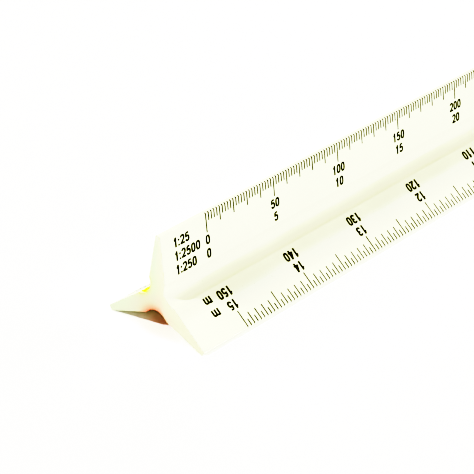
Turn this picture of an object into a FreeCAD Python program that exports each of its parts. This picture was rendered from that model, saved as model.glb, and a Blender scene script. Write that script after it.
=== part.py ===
import FreeCAD, Part
import math
import os

import Sketcher
from FreeCAD import Placement, Rotation, Vector

# A 30 cm triangular reduction scale. Three tapered arms at 120 degrees run the length of a solid white
# moulding, and a round flute is sunk into each valley between them. One flute is left white, one holds
# a yellow strip and one a red strip. Each of the six flanks carries one printed scale.
#
# +X runs along the ruler, +Z is up and the white flute faces -Y. The ruler rests on two of its arms.
# The origin is the centre of its footprint. Angles round the section run from +Y towards +Z.

DIMENSIONS = (
    ("body_length", 325.6, "overall length"),
    ("scale_length", 300.0, "from the first mark to the last"),
    ("arm_reach", 14.0, "from the axis to the end of an arm"),
    ("land_width", 1.16, "blunt end of an arm, before rounding"),
    ("taper_angle", 8.75, "lean of each flank, in degrees"),
    ("tip_round", 0.25, "rounding of the two corners of an arm's end"),
    ("flute_offset", 5.6, "from the axis to the centre of a flute"),
    ("flute_radius", 3.0, "radius of a finished flute"),
    ("strip_depth", 0.1, "thickness of a coloured strip"),
    ("ink_depth", 0.03, "thickness of the printing"),
    ("mark_width", 0.26, "width of a mark"),
    ("mark_start", 0.28, "from the flank's outer corner to the start of a mark"),
    ("short_mark", 1.75, "from the corner to the end of a short mark"),
    ("medium_mark", 2.85, "from the corner to the end of a medium mark"),
    ("long_mark", 4.0, "from the corner to the end of a long mark"),
    ("figure_height", 2.05, "height of a figure"),
    ("figure_width", 1.23, "width of a figure"),
    ("figure_pitch", 1.36, "from one figure to the next"),
    ("stroke_width", 0.43, "width of a printed stroke"),
    ("first_row", 2.65, "from the corner to the middle of the row beside the marks"),
    ("row_pitch", 2.85, "from one row to the next"),
    ("legend_start", 9.5, "from the first mark back to the start of the ratios"),
    ("unit_offset", 4.7, "from the last mark to the middle of the letter m"),
    ("unit_height", 1.5, "height of the letter m"),
    ("unit_pitch", 0.76, "from one leg of the m to the next"),
    ("colon_pitch", 0.62, "from a colon to the figure after it"),
    ("colon_height", 1.05, "from one dot of a colon to the other"),
)

ARM_ANGLES = {"upper": 90.0, "front": 210.0, "rear": 330.0}
WHITE_FLUTE, YELLOW_FLUTE, RED_FLUTE = 150.0, 30.0, 270.0
THIRD_TURN, SIXTH_TURN, TWELFTH_TURN = 120.0, 60.0, 30.0

# Each scale: its node ending, its arm, the side of the arm it is printed on (+1 is a quarter turn ahead
# of the arm and reads towards +X), metres between marks, marks in a medium division, medium divisions
# in a long one, metres between figures, the ratios of its rows from the edge inwards, and how much
# nearer the edge its rows and the feet of its marks lie. The first ratio has no figures of its own.
SCALES = (
    ("1_2500", "upper", 1, 2.0, 5, 5, 50, (25, 2500, 250), 0.0),
    ("1_500", "front", -1, 0.5, 2, 5, 10, (5, 50, 500), 0.28),
    ("1_1000", "rear", 1, 1.0, 5, 2, 20, (10, 1000, 100), 0.0),
    ("1_2000", "upper", -1, 2.0, 5, 5, 50, (20, 2000, 200), 0.0),
    ("1_1250", "front", 1, 1.0, 5, 5, 50, (None, 1250, 125), 0.0),
    ("1_1500", "rear", -1, 2.0, 5, 5, 50, (15, 1500, 150), 0.0),
)

doc = FreeCAD.newDocument("TriangularScale")
sheet = doc.addObject("Spreadsheet::Sheet", "dims")
for row, (alias, value, note) in enumerate(DIMENSIONS, start=1):
    sheet.set(f"A{row}", alias)
    sheet.set(f"B{row}", str(value))
    sheet.setAlias(f"B{row}", alias)
    sheet.set(f"C{row}", note)
doc.recompute()


def dim(alias):
    return float(sheet.get(alias))


TAPER = math.radians(dim("taper_angle"))
SIXTH = math.radians(SIXTH_TURN)
TWELFTH = math.radians(TWELFTH_TURN)
HALF_LAND = dim("land_width") / 2
NEAR = 0.01
CLEARANCE = 2.0


def polar(angle, distance):
    """A point of the section, at this angle and distance from the axis."""
    turn = math.radians(angle)
    return Vector(distance * math.cos(turn), distance * math.sin(turn), 0)


def rest_height():
    """How far the axis is above the table, when the rounded corners of two arms touch it."""
    round_ = dim("tip_round")
    inset = round_ * math.tan((math.pi / 2 - TAPER) / 2)
    along = dim("arm_reach") - round_
    return along * math.sin(TWELFTH) + (HALF_LAND - inset) * math.cos(TWELFTH) + round_


def valley_distance():
    """From the axis to the line where two neighbouring flanks would meet, were there no flute."""
    width = HALF_LAND + dim("arm_reach") * math.tan(TAPER)
    return width / (math.sin(SIXTH) + math.cos(SIXTH) * math.tan(TAPER))


AXIS_HEIGHT = rest_height()


# --- sketch helpers -------------------------------------------------------------------------------


def new_body(label):
    body = doc.addObject("PartDesign::Body", label)
    body.Label = label
    return body


def origin_feature(body, role):
    return next(f for f in body.Origin.OriginFeatures if f.Role == role)


def new_sketch(body, name, role):
    sketch = body.newObject("Sketcher::SketchObject", name)
    sketch.AttachmentSupport = [(origin_feature(body, role), "")]
    sketch.MapMode = "FlatFace"
    return sketch


def drive(sketch, name, constraint, expression):
    """Adds a named constraint whose value follows the sheet."""
    sketch.addConstraint(constraint)
    sketch.renameConstraint(sketch.ConstraintCount - 1, name)
    sketch.setExpression(f"Constraints.{name}", expression)


def line(sketch, start, end, construction=False):
    return sketch.addGeometry(Part.LineSegment(start, end), construction)


def join(sketch, *ends):
    """Makes each pair of (geometry, vertex) ends coincide."""
    for (first, first_end), (second, second_end) in ends:
        sketch.addConstraint(Sketcher.Constraint("Coincident", first, first_end, second, second_end))


def pad(body, sketch, name, expression, symmetric):
    feature = body.newObject("PartDesign::Pad", name)
    feature.Profile = sketch
    feature.SideType = "Symmetric" if symmetric else "One side"
    feature.setExpression("Length", expression)
    body.Tip = feature
    doc.recompute()
    return feature


def pocket_through(body, sketch, name):
    """Cuts the sketch right through the length of the ruler, and checks that material went."""
    before = body.Shape.Volume
    feature = body.newObject("PartDesign::Pocket", name)
    feature.Profile = sketch
    feature.SideType = "Symmetric"
    feature.setExpression("Length", f"dims.body_length + {CLEARANCE}")
    body.Tip = feature
    doc.recompute()
    if body.Shape.Volume >= before:
        raise RuntimeError(f"{name} cut nothing")
    return feature


def turned(body, features, name, angle, count):
    """Repeats the features about the ruler's axis, `angle` degrees in all."""
    pattern = body.newObject("PartDesign::PolarPattern", name)
    pattern.Originals = features
    pattern.Axis = (origin_feature(body, "X_Axis"), [""])
    pattern.Mode = "Extent"
    pattern.Angle = angle
    pattern.Occurrences = count
    body.Tip = pattern
    doc.recompute()
    return pattern


# --- the moulding ---------------------------------------------------------------------------------


def arm_sketch(body):
    """One upright arm: its end, its two leaning flanks and the two lines that close it at the axis."""
    sketch = new_sketch(body, "arm_section", "YZ_Plane")
    reach = dim("arm_reach")
    root = polar(TWELFTH_TURN, valley_distance())
    left, right = Vector(-HALF_LAND, reach, 0), Vector(HALF_LAND, reach, 0)
    end = line(sketch, left, right)
    right_flank = line(sketch, right, root)
    right_root = line(sketch, root, Vector(0, 0, 0))
    left_root = line(sketch, Vector(0, 0, 0), Vector(-root.x, root.y, 0))
    left_flank = line(sketch, Vector(-root.x, root.y, 0), left)
    join(
        sketch,
        ((end, 2), (right_flank, 1)),
        ((right_flank, 2), (right_root, 1)),
        ((right_root, 2), (left_root, 1)),
        ((left_root, 2), (left_flank, 1)),
        ((left_flank, 2), (end, 1)),
        ((right_root, 2), (-1, 1)),
    )
    sketch.addConstraint(Sketcher.Constraint("Symmetric", end, 1, end, 2, -2))
    sketch.addConstraint(Sketcher.Constraint("Symmetric", right_root, 1, left_root, 2, -2))
    drive(sketch, "reach", Sketcher.Constraint("DistanceY", -1, 1, end, 2, reach), "dims.arm_reach")
    land = Sketcher.Constraint("DistanceX", end, 1, end, 2, 2 * HALF_LAND)
    drive(sketch, "land", land, "dims.land_width")
    lean = Sketcher.Constraint("Angle", -2, 1, right_flank, 2, TAPER)
    drive(sketch, "lean", lean, "dims.taper_angle * 1deg")
    sketch.addConstraint(Sketcher.Constraint("Angle", -1, 1, right_root, 2, TWELFTH))
    return sketch


def flute_sketch(body, name, angle, expression):
    """A circle centred in the valley at this angle."""
    sketch = new_sketch(body, name, "YZ_Plane")
    centre = polar(angle, dim("flute_offset"))
    ray = line(sketch, Vector(0, 0, 0), centre, True)
    circle = sketch.addGeometry(Part.Circle(centre, Vector(0, 0, 1), dim("flute_radius")))
    join(sketch, ((ray, 1), (-1, 1)), ((ray, 2), (circle, 3)))
    sketch.addConstraint(Sketcher.Constraint("Angle", -1, 1, ray, 1, math.radians(angle)))
    offset = Sketcher.Constraint("Distance", ray, dim("flute_offset"))
    drive(sketch, "offset", offset, "dims.flute_offset")
    drive(sketch, "radius", Sketcher.Constraint("Radius", circle, dim("flute_radius")), expression)
    return sketch


def end_corners(shape):
    """The names of the two long edges at the end of the upright arm."""
    names = []
    for number, edge in enumerate(shape.Edges, start=1):
        box = edge.BoundBox
        if box.XLength > dim("body_length") / 2 and box.ZMin > dim("arm_reach") - NEAR:
            names.append(f"Edge{number}")
    return names


def make_moulding():
    body = new_body("scale_body")
    arm = pad(body, arm_sketch(body), "arm", "dims.body_length", True)
    rounding = body.newObject("PartDesign::Fillet", "arm_end_rounding")
    rounding.Base = (arm, end_corners(arm.Shape))
    rounding.setExpression("Radius", "dims.tip_round")
    body.Tip = rounding
    doc.recompute()
    turned(body, [arm, rounding], "three_arms", 3 * THIRD_TURN, 3)
    flute_section = flute_sketch(body, "flute_section", WHITE_FLUTE, "dims.flute_radius")
    flute = pocket_through(body, flute_section, "flute")
    turned(body, [flute], "three_flutes", 3 * THIRD_TURN, 3)
    recess_radius = "dims.flute_radius + dims.strip_depth"
    recess_section = flute_sketch(body, "recess_section", RED_FLUTE, recess_radius)
    recess = pocket_through(body, recess_section, "strip_recess")
    turned(body, [recess], "two_recesses", YELLOW_FLUTE + 3 * THIRD_TURN - RED_FLUTE, 2)
    body.Placement = Placement(Vector(0, 0, AXIS_HEIGHT), Rotation())
    return body


# --- the coloured strips --------------------------------------------------------------------------


def flank_distance():
    """From the centre of a flute to the planes of the two flanks beside it."""
    across = HALF_LAND * math.cos(TAPER) + dim("arm_reach") * math.sin(TAPER)
    return dim("flute_offset") * math.sin(SIXTH + TAPER) - across


def make_strip(label, angle):
    """A curved strip that lines a flute and ends level with the flanks on both sides."""
    body = new_body(label)
    sketch = new_sketch(body, f"{label}_section", "YZ_Plane")
    inner, outer = dim("flute_radius"), dim("flute_radius") + dim("strip_depth")
    distance = flank_distance()
    centre = Vector(0, -dim("flute_offset"), 0)

    def rim(radius, side):
        half = TWELFTH - TAPER + math.acos(distance / radius)
        return centre + Vector(side * radius * math.sin(half), radius * math.cos(half), 0)

    def arc(radius):
        half = TWELFTH - TAPER + math.acos(distance / radius)
        circle = Part.Circle(centre, Vector(0, 0, 1), radius)
        return sketch.addGeometry(Part.ArcOfCircle(circle, math.pi / 2 - half, math.pi / 2 + half))

    face, back = arc(inner), arc(outer)
    right = line(sketch, rim(inner, 1), rim(outer, 1))
    left = line(sketch, rim(outer, -1), rim(inner, -1))
    join(
        sketch,
        ((face, 1), (right, 1)),
        ((right, 2), (back, 1)),
        ((back, 2), (left, 1)),
        ((left, 2), (face, 2)),
        ((face, 3), (back, 3)),
    )
    sketch.addConstraint(Sketcher.Constraint("PointOnObject", face, 3, -2))
    sketch.addConstraint(Sketcher.Constraint("Horizontal", right, 1, left, 2))
    sketch.addConstraint(Sketcher.Constraint("Horizontal", right, 2, left, 1))
    lean = Sketcher.Constraint("Angle", -1, 1, right, 1, TAPER - TWELFTH)
    drive(sketch, "lean", lean, f"(dims.taper_angle - {TWELFTH_TURN}) * 1deg")
    offset = Sketcher.Constraint("DistanceY", face, 3, -1, 1, dim("flute_offset"))
    drive(sketch, "offset", offset, "dims.flute_offset")
    drive(sketch, "inner", Sketcher.Constraint("Radius", face, inner), "dims.flute_radius")
    depth = Sketcher.Constraint("Radius", back, outer)
    drive(sketch, "outer", depth, "dims.flute_radius + dims.strip_depth")
    level = Sketcher.Constraint("Distance", face, 3, right, distance)
    drive(
        sketch,
        "level",
        level,
        f"dims.flute_offset * sin(({SIXTH_TURN} + dims.taper_angle) * 1deg)"
        " - dims.land_width / 2 * cos(dims.taper_angle * 1deg)"
        " - dims.arm_reach * sin(dims.taper_angle * 1deg)",
    )
    pad(body, sketch, f"{label}_length", "dims.body_length", True)
    turn = Rotation(Vector(1, 0, 0), angle - RED_FLUTE)
    body.Placement = Placement(Vector(0, 0, AXIS_HEIGHT), turn)
    return body


# --- the printing ---------------------------------------------------------------------------------


def flank_placement(arm, side):
    """The printing frame of a flank: x reads along it, y points at the arm's edge and z points out of it.
    Its origin is at the first mark, on the corner where the flank meets the arm's end."""
    turn = math.radians(ARM_ANGLES[arm])
    along = Vector(0, math.cos(turn), math.sin(turn))
    across = Vector(0, -math.sin(turn), math.cos(turn)) * side
    corner = along * dim("arm_reach") + across * HALF_LAND
    edgeward = along * math.cos(TAPER) - across * math.sin(TAPER)
    outward = across * math.cos(TAPER) + along * math.sin(TAPER)
    reading = edgeward.cross(outward)
    origin = reading * (-dim("scale_length") / 2) + corner + Vector(0, 0, AXIS_HEIGHT)
    return Placement(origin, Rotation(reading, edgeward, outward, "XYZ"))


def mark_sketch(body, name, centre, length_alias, shift):
    """One mark, `centre` along the scale, from the edge to the end that its length and shift set."""
    sketch = new_sketch(body, name, "XY_Plane")
    half, top, foot = dim("mark_width") / 2, -dim("mark_start"), shift - dim(length_alias)
    corners = [
        Vector(centre - half, foot, 0),
        Vector(centre + half, foot, 0),
        Vector(centre + half, top, 0),
        Vector(centre - half, top, 0),
    ]
    sides = [line(sketch, corners[i], corners[(i + 1) % 4]) for i in range(4)]
    join(sketch, *(((sides[i], 2), (sides[(i + 1) % 4], 1)) for i in range(4)))
    for side, kind in zip(sides, ("Horizontal", "Vertical", "Horizontal", "Vertical")):
        sketch.addConstraint(Sketcher.Constraint(kind, side))
    width = Sketcher.Constraint("DistanceX", sides[0], 1, sides[0], 2, 2 * half)
    drive(sketch, "width", width, "dims.mark_width")
    start = Sketcher.Constraint("DistanceY", sides[2], 1, -1, 1, -top)
    drive(sketch, "start", start, "dims.mark_start")
    end = Sketcher.Constraint("DistanceY", sides[0], 1, -1, 1, -foot)
    drive(sketch, "foot", end, f"dims.{length_alias} - {shift!r}")
    place = Sketcher.Constraint("DistanceX", -1, 1, sides[0], 2, centre + half)
    drive(sketch, "place", place, f"{centre!r} + dims.mark_width / 2")
    return sketch


def repeated(body, feature, name, *rows):
    """Copies of a feature along X. Each row is a spacing and a count, and repeats what is before it."""
    pattern = body.newObject("PartDesign::MultiTransform", name)
    pattern.Originals = [feature]
    steps = []
    for number, (offset, copies) in enumerate(rows, start=1):
        if copies == 1:
            continue
        row = body.newObject("PartDesign::LinearPattern", f"{name}_{number}")
        row.Direction = (origin_feature(body, "X_Axis"), [""])
        row.Mode = "Spacing"
        row.Offset = offset
        row.Occurrences = copies
        steps.append(row)
    pattern.Transformations = steps
    body.Tip = pattern
    doc.recompute()
    return pattern


def make_graduations(ending, arm, side, metres, per_medium, per_long, ratio, shift):
    """The marks of one scale: short ones, medium ones and long ones, none printed twice."""
    body = new_body(f"graduations_{ending}")
    minor = metres * 1000.0 / ratio
    medium = minor * per_medium
    major = medium * per_long
    majors = round(dim("scale_length") / major)
    kinds = (
        ("short", minor, ((minor, per_medium - 1), (medium, majors * per_long))),
        ("medium", medium, ((medium, per_long - 1), (major, majors))),
        ("long", 0.0, ((major, majors + 1),)),
    )
    for kind, first, rows in kinds:
        sketch = mark_sketch(body, f"{kind}_{ending}", first, f"{kind}_mark", shift)
        mark = pad(body, sketch, f"{kind}_mark_{ending}", "dims.ink_depth", False)
        repeated(body, mark, f"{kind}_marks_{ending}", *rows)
    body.Placement = flank_placement(arm, side)
    return body


STROKE = dim("stroke_width")
WIDTH = dim("figure_width") - STROKE
HEIGHT = dim("figure_height") - STROKE
BOWL = WIDTH / 2
CROWN = HEIGHT / 2 - BOWL
UNIT_PITCH = dim("unit_pitch")
UNIT_HEIGHT = dim("unit_height")


def bar(x_start, y_start, x_end, y_end):
    """A straight stroke with square ends, given by its centreline."""
    start, end = Vector(x_start, y_start, 0), Vector(x_end, y_end, 0)
    stroke = Part.makeBox(start.distanceToPoint(end), STROKE, dim("ink_depth"), Vector(0, -STROKE / 2, 0))
    heading = math.degrees(math.atan2(y_end - y_start, x_end - x_start))
    stroke.Placement = Placement(start, Rotation(Vector(0, 0, 1), heading))
    return stroke


def bow(x, y, radius, start, end):
    """A curved stroke round a centre, from one angle to another."""
    disc = Part.makeCylinder(radius + STROKE / 2, dim("ink_depth"), Vector(), Vector(0, 0, 1), end - start)
    core = Part.makeCylinder(radius - STROKE / 2, dim("ink_depth"))
    stroke = disc.cut(core)
    stroke.Placement = Placement(Vector(x, y, 0), Rotation(Vector(0, 0, 1), start))
    return stroke


def strokes_of(character):
    """The strokes of a figure, in shares of its width and height. Their ends run past its cell where it is
    to be cut off square."""
    over = STROKE
    low, high, waist = BOWL, HEIGHT - BOWL, 2 * BOWL
    if character == "0":
        return [bow(BOWL, high, BOWL, 0, 180), bow(BOWL, low, BOWL, 180, 360),
                bar(0, low, 0, high), bar(WIDTH, low, WIDTH, high)]
    if character == "1":
        stem = 0.66 * WIDTH
        return [bar(stem, -over, stem, HEIGHT + over), bar(0.12 * WIDTH, 0.72 * HEIGHT, stem, HEIGHT)]
    if character == "2":
        turn = math.radians(-38)
        hook = (BOWL + BOWL * math.cos(turn), high + BOWL * math.sin(turn))
        return [bow(BOWL, high, BOWL, -38, 168), bar(*hook, -0.02 * WIDTH, -0.1 * STROKE),
                bar(-STROKE / 2, 0, WIDTH + STROKE / 2, 0)]
    if character == "3":
        return [bow(BOWL, HEIGHT - CROWN, CROWN, -90, 160), bow(BOWL, low, BOWL, -160, 90),
                bar(0.3 * WIDTH, waist, BOWL, waist)]
    if character == "4":
        stem, rail = 0.74 * WIDTH, 0.26 * HEIGHT
        return [bar(stem, -over, stem, HEIGHT + over), bar(-STROKE / 2, rail, WIDTH + STROKE / 2, rail),
                bar(0, rail, stem, HEIGHT + 0.1 * STROKE)]
    if character == "5":
        return [bar(0.1 * WIDTH, HEIGHT, 0.98 * WIDTH, HEIGHT),
                bar(0.05 * WIDTH, 0.44 * HEIGHT, 0.14 * WIDTH, HEIGHT),
                bow(BOWL, low, BOWL, -160, 142)]
    if character == "6":
        return [bow(BOWL, high, BOWL, 20, 180), bar(0, low, 0, high), bow(BOWL, low, BOWL, 0, 360)]
    if character == "7":
        return [bar(-0.02 * WIDTH, HEIGHT, WIDTH + STROKE / 2, HEIGHT),
                bar(0.34 * WIDTH, -over, WIDTH, HEIGHT)]
    if character == "8":
        return [bow(BOWL, HEIGHT - CROWN, CROWN, 0, 360), bow(BOWL, low, BOWL, 0, 360)]
    if character == "9":
        return [bow(BOWL, low, BOWL, -160, 0), bar(WIDTH, low, WIDTH, high), bow(BOWL, high, BOWL, 0, 360)]
    if character == "m":
        arch = UNIT_PITCH / 2
        spring = UNIT_HEIGHT - STROKE - arch
        feet = [bar(i * UNIT_PITCH, -over, i * UNIT_PITCH, spring) for i in (1, 2)]
        arches = [bow(arch + i * UNIT_PITCH, spring, arch, 0, 180) for i in (0, 1)]
        return [bar(0, -over, 0, UNIT_HEIGHT), *feet, *arches]
    raise ValueError(character)


def make_glyph(character):
    """The solid of one character, trimmed to its cell, with the cell's lower left corner at the origin."""
    if character == ":":
        dots = [bar(0, y, STROKE, y) for y in (0, dim("colon_height"))]
        shape = Part.makeCompound(dots)
    else:
        first, *rest = strokes_of(character)
        shape = first.fuse(rest).removeSplitter()
        tall = UNIT_HEIGHT if character == "m" else dim("figure_height")
        wide = 2 * (WIDTH + STROKE)
        cell = Part.makeBox(wide, tall, dim("ink_depth"), Vector(-STROKE, -STROKE / 2, 0))
        shape = shape.common(cell).removeSplitter()
    shape.translate(Vector(STROKE / 2, STROKE / 2, 0))
    return shape


GAP = dim("figure_pitch") - dim("figure_width")
ADVANCE = {"m": 2 * UNIT_PITCH + STROKE + GAP, ":": dim("colon_pitch")}
glyphs = {character: make_glyph(character) for character in "0123456789:m"}


def line_width(text):
    return sum(ADVANCE.get(c, dim("figure_pitch")) for c in text) - GAP


def typeset(text, left, row):
    """The solids of a line of text that starts at `left`, in one of the rows counted from the edge."""
    y = -dim("first_row") - row * dim("row_pitch") - dim("figure_height") / 2
    solids = []
    for character in text:
        for solid in glyphs[character].Solids:
            solids.append(solid.translated(Vector(left, y, 0)))
        left += ADVANCE.get(character, dim("figure_pitch"))
    return solids


def make_print(label, solids, arm, side, shift):
    """Printed characters, which sit on a flank as separate thin solids."""
    print_ = doc.addObject("Part::Feature", label)
    print_.Label = label
    print_.Shape = Part.makeCompound(solids)
    print_.Placement = flank_placement(arm, side) * Placement(Vector(0, shift, 0), Rotation())
    return print_


def make_figures(ending, arm, side, figure_step, ratios, shift):
    """Two rows of figures, each centred on its mark, with the unit after the last one."""
    solids = []
    top_ratio = max(r for r in ratios if r)
    spacing = figure_step * 1000.0 / top_ratio
    count = math.floor(dim("scale_length") / spacing + NEAR)
    for row, ratio in enumerate(ratios[1:], start=1):
        value = figure_step * ratio // top_ratio
        for number in range(count + 1):
            text = str(number * value)
            solids += typeset(text, number * spacing - line_width(text) / 2, row)
        unit_left = count * spacing + dim("unit_offset") - line_width("m") / 2
        solids += typeset("m", unit_left, row)
    return make_print(f"figures_{ending}", solids, arm, side, shift)


def make_legend(ending, arm, side, ratios, shift):
    """The ratios of the scale, one above the other, ahead of its first mark."""
    solids = []
    for row, ratio in enumerate(ratios):
        if ratio:
            solids += typeset(f"1:{ratio}", -dim("legend_start"), row)
    return make_print(f"legend_{ending}", solids, arm, side, shift)


nodes = [
    make_moulding(),
    make_strip("yellow_flute_strip", YELLOW_FLUTE),
    make_strip("red_flute_strip", RED_FLUTE),
]
for ending, arm, side, metres, per_medium, per_long, figure_step, ratios, shift in SCALES:
    top_ratio = max(r for r in ratios if r)
    nodes.append(make_graduations(ending, arm, side, metres, per_medium, per_long, top_ratio, shift))
    nodes.append(make_figures(ending, arm, side, figure_step, ratios, shift))
    nodes.append(make_legend(ending, arm, side, ratios, shift))

doc.recompute()
for item in doc.Objects:
    if "Invalid" in item.State or "Error" in item.State:
        raise RuntimeError(f"{item.Label} failed: {item.State}")
for node in nodes:
    if node.Shape.isNull() or not node.Shape.isValid():
        raise RuntimeError(f"{node.Label} has no valid shape")

os.makedirs("parts", exist_ok=True)
for node in nodes:
    node.Shape.exportStep(f"parts/{node.Label}.step")
    print(node.Label, len(node.Shape.Solids), "solids", round(node.Shape.Volume, 3), "mm3")
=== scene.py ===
import math

import bpy
from mathutils import Matrix, Vector


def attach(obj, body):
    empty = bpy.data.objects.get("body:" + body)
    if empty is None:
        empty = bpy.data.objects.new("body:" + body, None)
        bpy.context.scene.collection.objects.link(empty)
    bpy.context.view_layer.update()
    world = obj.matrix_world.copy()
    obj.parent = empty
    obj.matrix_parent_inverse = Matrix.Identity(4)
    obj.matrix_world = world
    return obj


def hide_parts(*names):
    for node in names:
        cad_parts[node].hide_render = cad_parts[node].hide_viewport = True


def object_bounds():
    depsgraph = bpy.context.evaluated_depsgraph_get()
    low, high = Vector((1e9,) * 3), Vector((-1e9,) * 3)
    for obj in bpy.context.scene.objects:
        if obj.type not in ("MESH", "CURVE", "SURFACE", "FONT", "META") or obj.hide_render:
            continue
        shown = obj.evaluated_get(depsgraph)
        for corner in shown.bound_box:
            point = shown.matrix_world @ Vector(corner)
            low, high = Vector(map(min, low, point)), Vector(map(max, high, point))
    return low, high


# A white triangular scale on a pale table. The moulding, its two coloured flute linings and the
# printing are built here; the CAD solids set where everything goes. Lengths are in metres unless a
# comment says millimetres. Angles round the section run from +Y towards +Z, and a section point is
# (y, z) measured from the ruler's axis.

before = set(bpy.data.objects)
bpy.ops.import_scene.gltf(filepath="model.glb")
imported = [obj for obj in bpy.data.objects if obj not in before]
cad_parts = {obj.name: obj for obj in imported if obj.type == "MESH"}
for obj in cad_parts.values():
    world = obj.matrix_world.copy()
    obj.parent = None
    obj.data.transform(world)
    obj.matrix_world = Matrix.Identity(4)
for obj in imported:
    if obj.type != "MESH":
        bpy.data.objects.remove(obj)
cad_low, cad_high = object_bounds()

MM = 0.001
HALF_LENGTH = (cad_high.x - cad_low.x) / 2
CAD_REACH = 14.0 * MM
AXIS_Z = cad_high.z - CAD_REACH
SCALE_LENGTH = 300.0 * MM
INK_SUNK, INK_PROUD = 0.004 * MM, 0.005 * MM

# The arms stop a little short of the CAD's, so that ink over their ends stays inside the CAD's box.
REACH = CAD_REACH - 1.5 * INK_PROUD
HALF_LAND = 0.58 * MM
TAPER = math.radians(8.75)
LEAN = 90 - math.degrees(TAPER)
TIP_ROUND = 0.25 * MM

FLUTE_OFFSET = 5.6 * MM
FLUTE_RADIUS = 3.0 * MM
RECESS_RADIUS = 3.1 * MM
LINING_SLACK = 0.006 * MM
LINING_SETBACK = 0.7 * MM

# How far back from a corner its softening starts, and the rounding at the two ends of a piece.
FLUTE_EDGE_CUT, LINING_EDGE_CUT = 0.09 * MM, 0.03 * MM
MOULDING_END_ROUND, LINING_END_ROUND = 0.035 * MM, 0.02 * MM

# The directions of the arms and the flutes, in degrees, and the steps of their curves.
UPPER, FRONT, REAR = 90.0, 210.0, 330.0
WHITE_FLUTE, YELLOW_FLUTE, RED_FLUTE = 150.0, 30.0, 270.0
TIP_STEPS, FLUTE_STEPS = 8, 64

# --- the section ----------------------------------------------------------------------------------


def direction(angle):
    """The unit vector of the section at this angle, in degrees."""
    turn = math.radians(angle)
    return Vector((math.cos(turn), math.sin(turn)))


def arc(centre, radius, start, end, steps):
    """Points on a circle from one angle to another, in degrees, both ends included."""
    return [centre + radius * direction(start + (end - start) * i / steps) for i in range(steps + 1)]


def flank_axes(arm, side):
    """For one side of an arm: its outer corner, the way to the arm's end, the way out of the flank."""
    along, across = direction(arm), direction(arm + 90 * side)
    corner = along * REACH + across * HALF_LAND
    edgeward = along * math.cos(TAPER) - across * math.sin(TAPER)
    outward = across * math.cos(TAPER) + along * math.sin(TAPER)
    return corner, edgeward, outward


def tip_centre(arm, side):
    """The centre of the rounding between an arm's end and its flank."""
    set_in = TIP_ROUND * math.tan((math.pi / 2 - TAPER) / 2)
    return direction(arm) * (REACH - TIP_ROUND) + direction(arm + 90 * side) * (HALF_LAND - set_in)


def flute_half(radius):
    """Half the angle of what is left of a flute circle between its two flanks, in degrees."""
    corner, _, outward = flank_axes(UPPER, 1)
    centre = direction(WHITE_FLUTE) * FLUTE_OFFSET
    gap = (centre - corner).dot(outward)
    return 30 - math.degrees(TAPER) + math.degrees(math.acos(gap / radius))


def softened(before, corner, after, cut, steps=4):
    """A corner between two runs, made into a small curve that starts and ends `cut` away from it."""
    start = corner + (before - corner).normalized() * cut
    end = corner + (after - corner).normalized() * cut
    points = []
    for i in range(steps + 1):
        t = i / steps
        points.append(start * (1 - t) ** 2 + corner * 2 * t * (1 - t) + end * t ** 2)
    return points


def flute_arc(flute, radius):
    """The flute's curve, from the arm a sixth of a turn before it to the arm a sixth after it."""
    half = flute_half(radius)
    centre = direction(flute) * FLUTE_OFFSET
    return arc(centre, radius, flute + 180 + half, flute + 180 - half, FLUTE_STEPS)


def moulding_section():
    """The outline of the moulding, anticlockwise. Each arm is followed by the flute after it, and two
    extra points near the ends of each flank keep it flat."""
    outline = []
    for arm, flute, radius in ((UPPER, WHITE_FLUTE, FLUTE_RADIUS),
                               (FRONT, RED_FLUTE, RECESS_RADIUS),
                               (REAR, YELLOW_FLUTE, RECESS_RADIUS)):
        for side in (-1, 1):
            start, end = sorted((0, side * LEAN))
            outline += arc(tip_centre(arm, side), TIP_ROUND, arm + start, arm + end, TIP_STEPS)
        curve = flute_arc(flute, radius)
        tip = outline[-1]
        next_tip = tip_centre(arm + 120, -1) + direction(arm + 120 - LEAN) * TIP_ROUND
        first = softened(tip, curve[0], curve[1], FLUTE_EDGE_CUT)
        last = softened(curve[-2], curve[-1], next_tip, FLUTE_EDGE_CUT)
        outline += [tip.lerp(first[0], share) for share in (0.006, 0.99)]
        outline += first + curve[2:-2] + last
        outline += [last[-1].lerp(next_tip, share) for share in (0.01, 0.994)]
    return outline


def lining_section(flute):
    """The outline of a coloured lining, a thin curved strip that ends level with the flanks."""
    face = flute_arc(flute, FLUTE_RADIUS)
    back = flute_arc(flute, RECESS_RADIUS - LINING_SLACK)[::-1]
    first = softened(back[-1], face[0], face[1], LINING_EDGE_CUT)
    last = softened(face[-2], face[-1], back[0], LINING_EDGE_CUT)
    return first + face[1:-1] + last + back


# --- meshes ---------------------------------------------------------------------------------------

ROUNDING_STEPS = 4
SHARP_ANGLE = math.radians(32)


def inset(outline, depth):
    """The outline moved inwards by a small depth."""
    moved = []
    for i, point in enumerate(outline):
        before = (point - outline[i - 1]).normalized()
        after = (outline[(i + 1) % len(outline)] - point).normalized()
        run = (before + after).normalized()
        moved.append(point + Vector((-run.y, run.x)) * depth)
    return moved


def new_object(name, verts, faces):
    """An object of one mesh, linked to the scene."""
    mesh = bpy.data.meshes.new(name)
    mesh.from_pydata(verts, [], faces)
    mesh.validate()
    obj = bpy.data.objects.new(name, mesh)
    bpy.context.scene.collection.objects.link(obj)
    return obj


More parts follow.
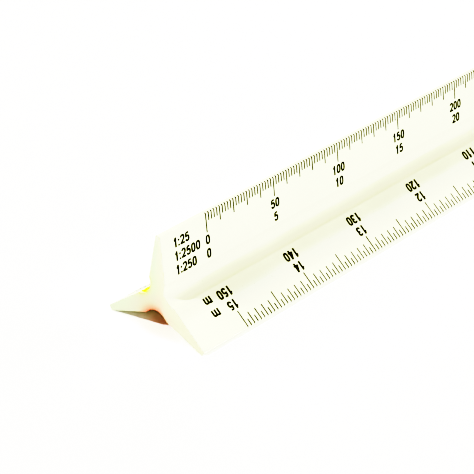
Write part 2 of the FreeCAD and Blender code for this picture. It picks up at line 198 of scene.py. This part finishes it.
def swept(name, outline, half_length, rounding):
    """The outline carried along X, with its two ends rounded over. A ring just past each rounding
    keeps the sides flat."""
    stations = []
    for k in range(ROUNDING_STEPS + 1):
        turn = math.pi / 2 * k / ROUNDING_STEPS
        stations.append((rounding * (1 - math.cos(turn)), rounding * (1 - math.sin(turn))))
    stations.append((rounding * 1.4, 0.0))
    rings = [(-half_length + x, depth) for x, depth in stations]
    rings += [(half_length - x, depth) for x, depth in reversed(stations)]
    count = len(outline)
    verts = []
    for x, depth in rings:
        ring = inset(outline, depth) if depth else outline
        verts += [(x, p.x, AXIS_Z + p.y) for p in ring]
    faces = [tuple(range(count))[::-1]]
    for r in range(len(rings) - 1):
        for i in range(count):
            j = (i + 1) % count
            a, b = r * count, (r + 1) * count
            faces.append((a + i, a + j, b + j, b + i))
    last = (len(rings) - 1) * count
    faces.append(tuple(range(last, last + count)))
    obj = new_object(name, verts, faces)
    obj.data.shade_smooth()
    obj.data.set_sharp_from_angle(angle=SHARP_ANGLE)
    for cap in (obj.data.polygons[0], obj.data.polygons[len(faces) - 1]):
        cap.use_smooth = False
    return obj


# --- printed marks --------------------------------------------------------------------------------

# How far down its flank each kind of mark reaches, in millimetres.
MARK_FEET = {"short": 1.75, "medium": 2.9, "long": 4.05}

# How far a mark runs over the arm's end, or else how far inside the edge it starts, and the lengths
# over which it thins at its two ends.
MARK_WRAP, MARK_START = 0.14 * MM, 0.28 * MM
START_THINS, FOOT_THINS = 0.05 * MM, 0.03 * MM
WRAP_STEPS = 6

# Half the width of a mark on the upper arm and on the two others, and how much it wavers from mark to
# mark, in millimetres.
UPPER_HALF_WIDTH, LOWER_HALF_WIDTH, WIDTH_WAVER = 0.146, 0.135, 0.012


def mark_path(arm, side, foot, wraps):
    """The line a mark follows down the flank. It starts just inside the edge, or, where the mark
    wraps, a little way over the arm's end. Each entry is a point and the way out of the surface."""
    corner, edgeward, outward = flank_axes(arm, side)
    path = []
    if wraps:
        along, across = direction(arm), direction(arm + 90 * side)
        centre = tip_centre(arm, side)
        path.append((centre + along * TIP_ROUND - across * MARK_WRAP, along))
        for i in range(WRAP_STEPS + 1):
            way = direction(arm + side * LEAN * i / WRAP_STEPS)
            path.append((centre + way * TIP_ROUND, way))
    else:
        path.append((corner - edgeward * MARK_START, outward))
        path.append((corner - edgeward * (MARK_START + START_THINS), outward))
    path.append((corner - edgeward * (foot - FOOT_THINS), outward))
    path.append((corner - edgeward * foot, outward))
    return path


def waver(number, arm):
    """A value between -0.5 and 0.5 that is fixed for each mark and looks irregular."""
    wave = math.sin(number * 12.9898 + arm) * 43758.5453
    return wave - math.floor(wave) - 0.5


def marks(name, arm, side, minor, per_medium, per_long, shift):
    """All the marks of one scale, as one piece: thin bars of ink that follow the surface. Their feet
    are the given shift nearer the edge, in millimetres. On the flanks that look to the front and not
    downwards, the marks wrap over the arm's end."""
    look = direction(arm + 90 * side)
    wraps = look.x < 0 and look.y > -0.5
    mean = UPPER_HALF_WIDTH if arm == UPPER else LOWER_HALF_WIDTH
    paths = {}
    for kind, foot in MARK_FEET.items():
        paths[kind] = mark_path(arm, side, (foot - shift) * MM, wraps)
    verts, faces = [], []
    for number in range(round(SCALE_LENGTH / minor) + 1):
        kind = "short"
        if number % per_medium == 0:
            kind = "medium"
        if number % (per_medium * per_long) == 0:
            kind = "long"
        x = (-SCALE_LENGTH / 2 + number * minor) * side
        half = (mean + WIDTH_WAVER * waver(number, arm)) * MM
        path = paths[kind]
        base = len(verts)
        for i, (point, way) in enumerate(path):
            thins = i in (0, len(path) - 1)
            bottom, top, proud = (0.72, 0.66, 0.4) if thins else (1.0, 0.94, 1.0)
            for lift, width in ((-INK_SUNK, bottom * half), (proud * INK_PROUD, top * half)):
                place = point + way * lift
                verts.append((x - width, place.x, AXIS_Z + place.y))
                verts.append((x + width, place.x, AXIS_Z + place.y))
        for i in range(len(path) - 1):
            a, b = base + 4 * i, base + 4 * i + 4
            faces += [(a + 2, a + 3, b + 3, b + 2), (a + 1, a, b, b + 1)]
            faces += [(a, a + 2, b + 2, b), (a + 3, a + 1, b + 1, b + 3)]
        end = base + 4 * (len(path) - 1)
        faces += [(base, base + 1, base + 3, base + 2), (end + 1, end, end + 2, end + 3)]
    obj = new_object(name, verts, faces)
    if side < 0:
        obj.data.flip_normals()
    return obj


# --- printed figures ------------------------------------------------------------------------------

# Millimetres. Figures are drawn from strokes, in a box as high and wide as the middle of the strokes.
FIGURE_HEIGHT, FIGURE_WIDTH, FIGURE_PITCH, STROKE = 2.05, 1.23, 1.36, 0.43
TALL, WIDE = FIGURE_HEIGHT - STROKE, FIGURE_WIDTH - STROKE
UNIT_HEIGHT, UNIT_PITCH, COLON_PITCH, COLON_HEIGHT = 1.5, 0.76, 0.62, 1.05
GAP = FIGURE_PITCH - FIGURE_WIDTH
ADVANCE = {"m": 2 * UNIT_PITCH + STROKE + GAP, ":": COLON_PITCH}

# Millimetres. How far the middle of the first row lies from the edge, the distance between rows, how
# far ahead of the first mark the legend starts, and how far past the last figure's mark the unit is.
FIRST_ROW, ROW_PITCH, LEGEND_START, UNIT_OFFSET = 2.65, 2.85, 9.5, 4.7


def oval(x, y, across, up, start, end, square=2.5, steps=30):
    """Points on a squarish ellipse round a centre, from one angle to another, in degrees."""
    points = []
    for i in range(steps + 1):
        turn = math.radians(start + (end - start) * i / steps)
        cos, sin = math.cos(turn), math.sin(turn)
        px = math.copysign(abs(cos) ** (2 / square), cos)
        py = math.copysign(abs(sin) ** (2 / square), sin)
        points.append(Vector((x + across * px, y + up * py)))
    return points


def run(*numbers):
    """A straight or bent stroke through points given as x, y, x, y."""
    return [Vector(numbers[i:i + 2]) for i in range(0, len(numbers), 2)]


def bend(start, pull, end, steps=12):
    """A curved stroke between two points, pulled towards a third."""
    curve = []
    for i in range(steps + 1):
        t = i / steps
        curve.append(start * (1 - t) ** 2 + pull * 2 * t * (1 - t) + end * t ** 2)
    return curve


def half_turned(strokes):
    """The same strokes, turned upside down in the figure's box."""
    return [[Vector((WIDE - p.x, TALL - p.y)) for p in stroke] for stroke in strokes]


def strokes_of(character):
    """The middle lines of a character's strokes."""
    over, mid = STROKE, WIDE / 2
    if character == "0":
        return [oval(mid, TALL / 2, mid, TALL / 2, 0, 360, 2.7, 60)]
    if character == "1":
        flag = bend(Vector((0.06 * WIDE, 0.775 * TALL)), Vector((0.5 * WIDE, 0.79 * TALL)),
                    Vector((0.6 * WIDE, TALL + 0.4 * STROKE)))
        return [run(0.62 * WIDE, -over, 0.62 * WIDE, TALL + over), flag]
    if character == "2":
        crown = oval(mid, 0.71 * TALL, mid, 0.29 * TALL, 172, -32)
        tail = bend(crown[-1], Vector((0.78 * WIDE, 0.42 * TALL)), Vector((0.02 * WIDE, 0.0)))
        return [crown[:-1] + tail, run(-STROKE / 2, 0.0, WIDE + STROKE / 2, 0.0)]
    if character == "3":
        return [oval(mid, 0.765 * TALL, 0.47 * WIDE, 0.235 * TALL, 165, -90),
                oval(mid, 0.265 * TALL, mid, 0.265 * TALL, 90, -165),
                run(0.3 * WIDE, 0.53 * TALL, mid, 0.53 * TALL)]
    if character == "4":
        return [run(0.74 * WIDE, -over, 0.74 * WIDE, TALL + over),
                run(-STROKE / 2, 0.24 * TALL, WIDE + STROKE / 2, 0.24 * TALL),
                run(-0.02 * WIDE, 0.22 * TALL, 0.72 * WIDE, TALL + 0.3 * STROKE)]
    if character == "5":
        return [run(0.1 * WIDE, TALL, 0.96 * WIDE, TALL),
                run(0.14 * WIDE, TALL, 0.04 * WIDE, 0.45 * TALL),
                oval(mid, 0.305 * TALL, mid, 0.305 * TALL, 146, -165)]
    if character == "6":
        return [oval(mid, 0.3 * TALL, mid, 0.3 * TALL, 0, 360, 2.4, 60),
                oval(mid, 0.62 * TALL, mid, 0.38 * TALL, 24, 180) + run(0.0, 0.3 * TALL)]
    if character == "7":
        leg = bend(Vector((WIDE, TALL)), Vector((0.42 * WIDE, 0.55 * TALL)),
                   Vector((0.34 * WIDE, -over)))
        return [run(-STROKE / 2, TALL, WIDE + STROKE / 2, TALL), leg]
    if character == "8":
        return [oval(mid, 0.77 * TALL, 0.45 * WIDE, 0.23 * TALL, 0, 360, 2.3, 60),
                oval(mid, 0.27 * TALL, mid, 0.27 * TALL, 0, 360, 2.3, 60)]
    if character == "9":
        return half_turned(strokes_of("6"))
    if character == "m":
        arch, spring = UNIT_PITCH / 2, UNIT_HEIGHT - STROKE - UNIT_PITCH / 2
        strokes = [run(0.0, -over, 0.0, UNIT_HEIGHT)]
        for k in (0, 1):
            curve = oval(arch + k * UNIT_PITCH, spring, arch, arch, 180, 0)
            strokes.append(curve + run((k + 1) * UNIT_PITCH, -over))
        return strokes
    return [run(-STROKE / 2, y, STROKE / 2, y) for y in (0.0, COLON_HEIGHT)]


def plate_of(stroke):
    """The flat plate of one stroke, a little thinner where it runs level, as vertices and faces."""
    closed = (stroke[0] - stroke[-1]).length < 1e-6
    points = stroke[:-1] if closed else stroke
    count = len(points)
    left, right = [], []
    for i, point in enumerate(points):
        before = points[i - 1] if closed or i else point
        after = points[(i + 1) % count] if closed or i < count - 1 else point
        way = (after - before).normalized()
        side = Vector((-way.y, way.x)) * STROKE / 2 * (0.86 + 0.14 * abs(way.y))
        left.append(point + side)
        right.append(point - side)
    verts = [(p.x, p.y, z) for z in (0.0, 1.0) for row in (left, right) for p in row]
    low_left, low_right, high_left, high_right = (k * count for k in range(4))
    faces = []
    for i in range(count if closed else count - 1):
        j = (i + 1) % count
        faces.append((low_left + i, low_left + j, low_right + j, low_right + i))
        faces.append((high_left + j, high_left + i, high_right + i, high_right + j))
        faces.append((low_left + j, low_left + i, high_left + i, high_left + j))
        faces.append((low_right + i, low_right + j, high_right + j, high_right + i))
    if not closed:
        last = count - 1
        faces.append((low_left, low_right, high_right, high_left))
        faces.append((low_right + last, low_left + last, high_left + last, high_right + last))
    return verts, faces


def glyph(character):
    """A character one unit thick, its strokes joined and trimmed square to its cell."""
    verts, faces = [], []
    for stroke in strokes_of(character):
        more_verts, more_faces = plate_of(stroke)
        faces += [tuple(len(verts) + v for v in face) for face in more_faces]
        verts += more_verts
    body = new_object("strokes", verts, faces)
    tall = UNIT_HEIGHT if character == "m" else FIGURE_HEIGHT
    left, right = -STROKE, 2 * UNIT_PITCH + STROKE
    low, high = -STROKE / 2, tall - STROKE / 2
    base = ((left, low), (right, low), (right, high), (left, high))
    box = [(x, y, z) for z in (-0.5, 1.5) for x, y in base]
    sides = [(3, 2, 1, 0), (4, 5, 6, 7), (0, 1, 5, 4), (1, 2, 6, 5), (2, 3, 7, 6), (3, 0, 4, 7)]
    cell = new_object("cell", box, sides)
    trim = body.modifiers.new("trim", "BOOLEAN")
    trim.object = cell
    trim.operation = "INTERSECT"
    trim.solver = "EXACT"
    trim.use_self = True
    bpy.context.view_layer.update()
    mesh = bpy.data.meshes.new_from_object(body.evaluated_get(bpy.context.evaluated_depsgraph_get()))
    shift = Vector((STROKE / 2, STROKE / 2, 0))
    result = [v.co + shift for v in mesh.vertices], [tuple(p.vertices) for p in mesh.polygons]
    bpy.data.meshes.remove(mesh)
    for obj in (body, cell):
        data = obj.data
        bpy.data.objects.remove(obj)
        bpy.data.meshes.remove(data)
    return result


glyphs = {character: glyph(character) for character in "0123456789:m"}


def line_width(text):
    return sum(ADVANCE.get(c, FIGURE_PITCH) for c in text) - GAP


def legend_lines(ratios):
    """The ratios ahead of the first mark, as text, left edge and row."""
    return [(f"1:{ratio}", -LEGEND_START, row) for row, ratio in enumerate(ratios) if ratio]


def figure_lines(figure_step, ratios):
    """The two rows of figures, each centred on its mark, and the unit after them."""
    lines = []
    finest = max(ratio for ratio in ratios if ratio)
    spacing = figure_step * 1000.0 / finest
    count = math.floor(SCALE_LENGTH / MM / spacing + 0.01)
    for row, ratio in enumerate(ratios[1:], start=1):
        for number in range(count + 1):
            text = str(number * (figure_step * ratio // finest))
            lines.append((text, number * spacing - line_width(text) / 2, row))
        lines.append(("m", count * spacing + UNIT_OFFSET - line_width("m") / 2, row))
    return lines


def printed(name, arm, side, lines, shift):
    """Lines of characters on a flank, as one piece of thin ink, the shift nearer the edge."""
    corner, edgeward, outward = flank_axes(arm, side)
    verts, faces = [], []
    for text, left, row in lines:
        foot = shift - FIRST_ROW - row * ROW_PITCH - FIGURE_HEIGHT / 2
        for character in text:
            points, polygons = glyphs[character]
            faces += [tuple(len(verts) + v for v in polygon) for polygon in polygons]
            for point in points:
                lift = INK_PROUD if point.z > 0.5 else -INK_SUNK
                place = corner + edgeward * (foot + point.y) * MM + outward * lift
                x = side * ((left + point.x) * MM - SCALE_LENGTH / 2)
                verts.append((x, place.x, AXIS_Z + place.y))
            left += ADVANCE.get(character, FIGURE_PITCH)
    return new_object(name, verts, faces)


# --- materials ------------------------------------------------------------------------------------

IVORY, PALE_IVORY = (0.755, 0.765, 0.66, 1), (0.785, 0.79, 0.69, 1)
STREAK, SPECK = (0.735, 0.745, 0.635, 1), (0.45, 0.42, 0.33, 1)
# Painted light for the ends of the two lower arms.
LAND_PAINTED_LIGHT = (0.89, 0.90, 0.83, 1)
# Painted shade for the plain flute and the foot of the front arm.
VALLEY_SHADE = (0.935, 0.935, 0.892, 1)
# Painted shade for the cut ends, in front and behind.
END_SHADE_FRONT, END_SHADE_BEHIND = (0.53, 0.53, 0.415, 1), (0.49, 0.53, 0.41, 1)
# Painted glows of the red and yellow linings.
RED_GLOW, YELLOW_GLOW = (1.06, 0.38, 0.45, 1), (1.02, 1.0, 0.45, 1)
YELLOW, DEEP_YELLOW = (0.66, 0.78, 0.055, 1), (0.58, 0.70, 0.04, 1)
RED, DEEP_RED = (0.50, 0.035, 0.02, 1), (0.40, 0.02, 0.015, 1)
INK, THIN_INK, WORN_INK = (0.010, 0.009, 0.004, 1), (0.026, 0.023, 0.012, 1), (0.10, 0.09, 0.05, 1)
TABLE_WHITE, TABLE_CLOUD = (0.97, 0.975, 0.99, 1), (0.98, 0.985, 1.0, 1)


class Shader:
    """A material and short ways to add nodes to it."""

    def __init__(self, name):
        self.material = bpy.data.materials.new(name)
        self.material.use_nodes = True
        self.tree = self.material.node_tree
        self.surface = self.tree.nodes["Principled BSDF"]
        self.position = self.node("ShaderNodeTexCoord").outputs["Object"]

    def node(self, kind, **values):
        """A new node with these properties."""
        node = self.tree.nodes.new(kind)
        for key, value in values.items():
            setattr(node, key, value)
        return node

    def link(self, source, target):
        self.tree.links.new(source, target)

    def feed(self, socket, value):
        """Link a socket to another, or set its value."""
        if isinstance(value, bpy.types.NodeSocket):
            self.link(value, socket)
        else:
            socket.default_value = value

    def set(self, **values):
        """Feed inputs of the surface, named with underscores for spaces."""
        for key, value in values.items():
            self.feed(self.surface.inputs[key.replace("_", " ")], value)

    def math(self, operation, a, b=0.0):
        node = self.node("ShaderNodeMath", operation=operation)
        for socket, value in zip(node.inputs, (a, b)):
            self.feed(socket, value)
        return node.outputs[0]

    def along(self, axis):
        """The position along one axis."""
        node = self.node("ShaderNodeSeparateXYZ")
        self.link(self.position, node.inputs[0])
        return node.outputs[axis]

    def scaled(self, x, y, z):
        """The position, stretched along each axis."""
        node = self.node("ShaderNodeMapping")
        node.inputs["Scale"].default_value = (x, y, z)
        self.link(self.position, node.inputs["Vector"])
        return node.outputs[0]

    def noise(self, vector, scale, detail):
        node = self.node("ShaderNodeTexNoise")
        self.link(vector, node.inputs["Vector"])
        node.inputs["Scale"].default_value = scale
        node.inputs["Detail"].default_value = detail
        return node.outputs["Fac"]

    def ramp(self, value, low, high, to_low=0.0, to_high=1.0):
        """A smooth step of a value, held level outside its two ends."""
        node = self.node("ShaderNodeMapRange", interpolation_type="SMOOTHSTEP")
        self.link(value, node.inputs["Value"])
        ends = {"From Min": low, "From Max": high, "To Min": to_low, "To Max": to_high}
        for key, number in ends.items():
            node.inputs[key].default_value = number
        return node.outputs["Result"]

    def mix(self, factor, a, b, blend="MIX"):
        node = self.node("ShaderNodeMix", data_type="RGBA", blend_type=blend)
        for socket, value in zip((node.inputs[0], node.inputs[6], node.inputs[7]), (factor, a, b)):
            self.feed(socket, value)
        return node.outputs[2]

    def bump(self, height, distance, below=None):
        """A bump of this depth, over the one below it."""
        node = self.node("ShaderNodeBump")
        node.inputs["Strength"].default_value = 1.0
        node.inputs["Distance"].default_value = distance
        self.link(height, node.inputs["Height"])
        if below is not None:
            self.link(below, node.inputs["Normal"])
        return node.outputs["Normal"]


def flute_distance(shader, flute):
    """How far a point of the moulding is from the face of a flute."""
    centre = direction(flute) * FLUTE_OFFSET
    y = shader.math("SUBTRACT", shader.along("Y"), centre.x)
    z = shader.math("SUBTRACT", shader.along("Z"), centre.y + AXIS_Z)
    square = shader.math("ADD", shader.math("POWER", y, 2.0), shader.math("POWER", z, 2.0))
    return shader.math("SUBTRACT", shader.math("SQRT", square), FLUTE_RADIUS)


def arm_share(shader, arm):
    """How far a point of the moulding is from the axis, measured along an arm."""
    way = direction(arm)
    across = shader.math("MULTIPLY", shader.along("Y"), way.x)
    up = shader.math("MULTIPLY", shader.math("SUBTRACT", shader.along("Z"), AXIS_Z), way.y)
    return shader.math("ADD", across, up)


def painted_glow(s, white, flute, reach, strength, tint):
    """Painted light: the plastic tinted round a flute with a painted glow of its lining's colour, most
    at its face and fading with the distance from it.
    """
    far = s.math("MAXIMUM", flute_distance(s, flute), 0.0)
    fading = s.math("MULTIPLY", s.math("DIVIDE", far, reach), -1.0)
    glow = s.math("MULTIPLY", s.math("EXPONENT", fading), strength)
    return s.mix(glow, white, tint, "MULTIPLY")


def white_plastic():
    """Extruded white styrene: satin, slightly ivory, with faint lines along its length. Its colour
    holds painted shade in the plain flute and on the cut ends, painted light on the ends of the two
    lower arms, and a painted glow of the coloured linings where it is thin."""
    s = Shader("white_plastic_fine")
    streaks = s.noise(s.scaled(12, 2600, 2600), 1.0, 4.0)
    peel = s.noise(s.position, 900, 2.0)
    cloud = s.noise(s.position, 55, 3.0)
    specks = s.ramp(s.noise(s.position, 2600, 1.0), 0.74, 0.8)
    white = s.mix(s.ramp(cloud, 0.3, 0.7), IVORY, PALE_IVORY)
    white = s.mix(s.ramp(streaks, 0.45, 0.75, 0.0, 0.35), white, STREAK)
    white = s.mix(s.math("MULTIPLY", specks, 0.25), white, SPECK)

    # Painted light: the ends of the two lower arms are painted lighter, as if lit from the table
    # below.
    for arm in (FRONT, REAR):
        lit_land = s.ramp(arm_share(s, arm), REACH - 0.04 * MM, REACH - 0.004 * MM)
        white = s.mix(lit_land, white, LAND_PAINTED_LIGHT)

    # Painted shade lies in the plain flute and on the foot of the front arm beside it.
    valley_shade = s.ramp(flute_distance(s, WHITE_FLUTE), 1.1 * MM, 3.0 * MM, 1.0, 0.0)
    valley_shade = s.math("MULTIPLY", valley_shade, s.ramp(arm_share(s, FRONT), 0.85 * MM, 1.5 * MM))
    white = s.mix(valley_shade, white, VALLEY_SHADE, "MULTIPLY")

    # Painted shade: the two cut ends are painted darker, and slightly greener behind.
    from_middle = s.math("ABSOLUTE", s.along("X"))
    end_face = s.ramp(from_middle, HALF_LENGTH - 0.1 * MM, HALF_LENGTH - 0.02 * MM)
    rear_side = s.ramp(s.along("Y"), -1.4 * MM, 1.2 * MM)
    white = s.mix(end_face, white, s.mix(rear_side, END_SHADE_FRONT, END_SHADE_BEHIND))

    # The painted red glow is weaker and reaches less far towards the front.
    across = s.along("Y")
    red_reach = s.ramp(across, -2.4 * MM, -0.6 * MM, 0.75 * MM, 1.4 * MM)
    red_strength = s.ramp(across, -2.4 * MM, -0.6 * MM, 0.55, 1.0)
    white = painted_glow(s, white, RED_FLUTE, red_reach, red_strength, RED_GLOW)
    white = painted_glow(s, white, YELLOW_FLUTE, 0.7 * MM, 0.75, YELLOW_GLOW)

    normal = s.bump(streaks, 0.004 * MM)
    normal = s.bump(peel, 0.003 * MM, normal)
    s.set(Base_Color=white, Roughness=s.ramp(cloud, 0.2, 0.8, 0.34, 0.46), Normal=normal)
    s.set(IOR=1.5, Specular_IOR_Level=0.45)
    return s.material


def lacquer(name, colour, shade):
    """A glossy coloured strip with slow changes of depth and fine lines along it."""
    s = Shader(name)
    streaks = s.noise(s.scaled(10, 1800, 1800), 1.0, 3.0)
    cloud = s.noise(s.position, 120, 3.0)
    paint = s.mix(s.ramp(cloud, 0.3, 0.7), colour, shade)
    paint = s.mix(s.ramp(streaks, 0.5, 0.8, 0.0, 0.4), paint, shade)
    normal = s.bump(streaks, 0.006 * MM)
    s.set(Base_Color=paint, Roughness=s.ramp(streaks, 0.3, 0.7, 0.2, 0.34), Normal=normal)
    s.set(Coat_Weight=0.35, Coat_Roughness=0.12)
    return s.material


def printing_ink():
    """Near-black screen ink, a little thin in places."""
    s = Shader("black_ink_fine")
    grain = s.noise(s.position, 9000, 2.0)
    patches = s.noise(s.position, 700, 3.0)
    ink = s.mix(s.ramp(patches, 0.35, 0.75), INK, THIN_INK)
    ink = s.mix(s.ramp(grain, 0.66, 0.76, 0.0, 0.5), ink, WORN_INK)
    normal = s.bump(grain, 0.002 * MM)
    s.set(Base_Color=ink, Roughness=s.ramp(grain, 0.3, 0.7, 0.42, 0.6), Normal=normal)
    s.set(Specular_IOR_Level=0.35)
    return s.material


def table_top():
    """A matt white table with barely visible clouds."""
    s = Shader("pale_table")
    cloud = s.noise(s.position, 6, 2.0)
    s.set(Base_Color=s.mix(cloud, TABLE_WHITE, TABLE_CLOUD), Roughness=0.8)
    return s.material


# --- building -------------------------------------------------------------------------------------

white = white_plastic()
ink = printing_ink()
yellow = lacquer("yellow_lining_fine", YELLOW, DEEP_YELLOW)
red = lacquer("red_lining_fine", RED, DEEP_RED)


def finish_piece(obj, material, slot, *nodes):
    """Give a piece its one material, hang it under the root body and hide the CAD nodes it stands for.
    """
    obj.data.materials.clear()
    obj.data.materials.append(material)
    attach(obj, "root")
    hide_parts(*nodes)


def lining(name, flute):
    """One coloured lining, which stops a little short of the moulding's ends."""
    return swept(name, lining_section(flute), HALF_LENGTH - LINING_SETBACK, LINING_END_ROUND)


moulding = swept("scale_moulding", moulding_section(), HALF_LENGTH, MOULDING_END_ROUND)
finish_piece(moulding, white, "white_plastic", "scale_body")
yellow_lining = lining("yellow_flute_lining", YELLOW_FLUTE)
finish_piece(yellow_lining, yellow, "yellow_strip", "yellow_flute_strip")
red_lining = lining("red_flute_lining", RED_FLUTE)
finish_piece(red_lining, red, "red_strip", "red_flute_strip")

# Each scale: its ending, its arm, the side it is printed on, metres between marks, marks in a medium
# division, medium divisions in a long one, metres between figures, the ratios of its rows, and how
# many millimetres nearer the edge its rows and the feet of its marks lie.
SCALES = (
    ("1_2500", UPPER, 1, 2.0, 5, 5, 50, (25, 2500, 250), 0.0),
    ("1_500", FRONT, -1, 0.5, 2, 5, 10, (5, 50, 500), 0.28),
    ("1_1000", REAR, 1, 1.0, 5, 2, 20, (10, 1000, 100), 0.0),
    ("1_2000", UPPER, -1, 2.0, 5, 5, 50, (20, 2000, 200), 0.0),
    ("1_1250", FRONT, 1, 1.0, 5, 5, 50, (None, 1250, 125), 0.0),
    ("1_1500", REAR, -1, 2.0, 5, 5, 50, (15, 1500, 150), 0.0),
)
for ending, arm, side, metres, per_medium, per_long, figure_step, ratios, shift in SCALES:
    minor = metres / max(ratio for ratio in ratios if ratio)
    graduations = marks(f"printed_marks_{ending}", arm, side, minor, per_medium, per_long, shift)
    finish_piece(graduations, ink, "black_ink", f"graduations_{ending}")
    rows = figure_lines(figure_step, ratios)
    figures = printed(f"printed_figures_{ending}", arm, side, rows, shift)
    finish_piece(figures, ink, "black_ink", f"figures_{ending}")
    ratio_lines = legend_lines(ratios)
    legend = printed(f"printed_legend_{ending}", arm, side, ratio_lines, shift)
    finish_piece(legend, ink, "black_ink", f"legend_{ending}")

# --- table, light and camera ----------------------------------------------------------------------

TABLE_HALF = 2.0
corners = [(TABLE_HALF * x, TABLE_HALF * y, 0) for x, y in ((-1, -1), (1, -1), (1, 1), (-1, 1))]
table = new_object("table", corners, [(0, 1, 2, 3)])
table.data.materials.append(table_top())

# The room lights the ruler softly, and past the edge of the table it shows as a pale grey backdrop.
ROOM_LIGHT = 0.4
BACKDROP = (0.87, 0.87, 0.94, 1)
world = bpy.data.worlds.new("studio")
world.use_nodes = True
nodes, links = world.node_tree.nodes, world.node_tree.links
room = nodes["Background"]
room.inputs["Color"].default_value = (1.0, 1.0, 1.0, 1)
room.inputs["Strength"].default_value = ROOM_LIGHT
backdrop = nodes.new("ShaderNodeBackground")
backdrop.inputs["Color"].default_value = BACKDROP
choice = nodes.new("ShaderNodeMixShader")
links.new(nodes.new("ShaderNodeLightPath").outputs["Is Camera Ray"], choice.inputs["Fac"])
links.new(room.outputs["Background"], choice.inputs[1])
links.new(backdrop.outputs["Background"], choice.inputs[2])
links.new(choice.outputs["Shader"], nodes["World Output"].inputs["Surface"])
bpy.context.scene.world = world

# Each light: its name, azimuth and elevation in degrees, width and height in metres, power in watts.
LIGHT_DISTANCE = 1.6
LIGHTS = (
    ("front_softbox", 15, 9, 1.0, 0.4, 7.4),
    ("high_softbox", 10, 42, 1.2, 0.5, 12.4),
    ("overhead_softbox", 0, 85, 1.2, 1.0, 2.1),
    ("left_softbox", -70, 25, 0.6, 0.5, 5.9),
    ("left_lamp", -114.9, 41.8, 0.1, 0.1, 25.0),
    ("back_softbox", 165, 24, 1.2, 0.5, 9.0),
    ("right_softbox", 94, 22, 0.8, 0.5, 9.0),
)


def way_to(azimuth, elevation):
    """The unit vector from the ruler to a place round it. Azimuth 0 is in front, 90 to the right."""
    turn, rise = math.radians(azimuth), math.radians(elevation)
    return Vector((math.sin(turn) * math.cos(rise), -math.cos(turn) * math.cos(rise), math.sin(rise)))


def soft_light(name, azimuth, elevation, width, height, power):
    """An area light that faces the middle of the ruler."""
    way = way_to(azimuth, elevation)
    data = bpy.data.lights.new(name, "AREA")
    data.shape = "RECTANGLE"
    data.size, data.size_y = width, height
    data.energy = power
    light = bpy.data.objects.new(name, data)
    light.location = way * LIGHT_DISTANCE
    light.rotation_euler = way.to_track_quat("Z", "Y").to_euler()
    bpy.context.scene.collection.objects.link(light)


for row in LIGHTS:
    soft_light(*row)

CAMERA_AZIMUTH, CAMERA_ELEVATION, CAMERA_ROLL = -49.96, 30.14, 2.13
CAMERA_DISTANCE = 449.8 * MM
SENSOR_WIDTH, FOCAL_LENGTH = 36.0, 173.87
AIM = Vector((cad_low.x + 23.15 * MM, 0.0, 11.63 * MM))
back = way_to(CAMERA_AZIMUTH, CAMERA_ELEVATION)
camera_data = bpy.data.cameras.new("camera")
camera_data.sensor_width = SENSOR_WIDTH
camera_data.lens = FOCAL_LENGTH
camera_data.clip_start, camera_data.clip_end = 0.01, 20.0
camera = bpy.data.objects.new("camera", camera_data)
facing = back.to_track_quat("Z", "Y").to_matrix().to_4x4()
roll = Matrix.Rotation(math.radians(CAMERA_ROLL), 4, "Z")
camera.matrix_world = Matrix.Translation(AIM + back * CAMERA_DISTANCE) @ facing @ roll
bpy.context.scene.collection.objects.link(camera)
bpy.context.scene.camera = camera

# An over-exposed response: how bright a surface is against how bright it is shown, for red and green
# together and for blue.
WHITEST = 1.8
WARM = ((0.1, 0.003), (0.24, 0.012), (0.31, 0.06), (0.37, 0.115), (0.434, 0.2), (0.6, 0.45),
        (0.8, 0.74), (0.95, 0.88), (1.05, 0.905), (1.12, 0.948), (1.3, 0.973), (1.5, 1.0))
BLUE = ((0.1, 0.001), (0.24, 0.004), (0.3, 0.011), (0.38, 0.042), (0.5, 0.17), (0.65, 0.44),
        (0.81, 0.705), (0.875, 0.74), (0.93, 0.8), (0.97, 0.855), (1.13, 0.88), (1.3, 0.92),
        (1.5, 1.0))
grade = bpy.context.scene.view_settings
grade.view_transform = "Standard"
grade.use_curve_mapping = True
response = grade.curve_mapping
response.white_level = (WHITEST, WHITEST, WHITEST)
for curve, levels in zip(response.curves, (WARM, WARM, BLUE)):
    for bright, shown in levels:
        curve.points.new(bright / WHITEST, shown)
response.update()
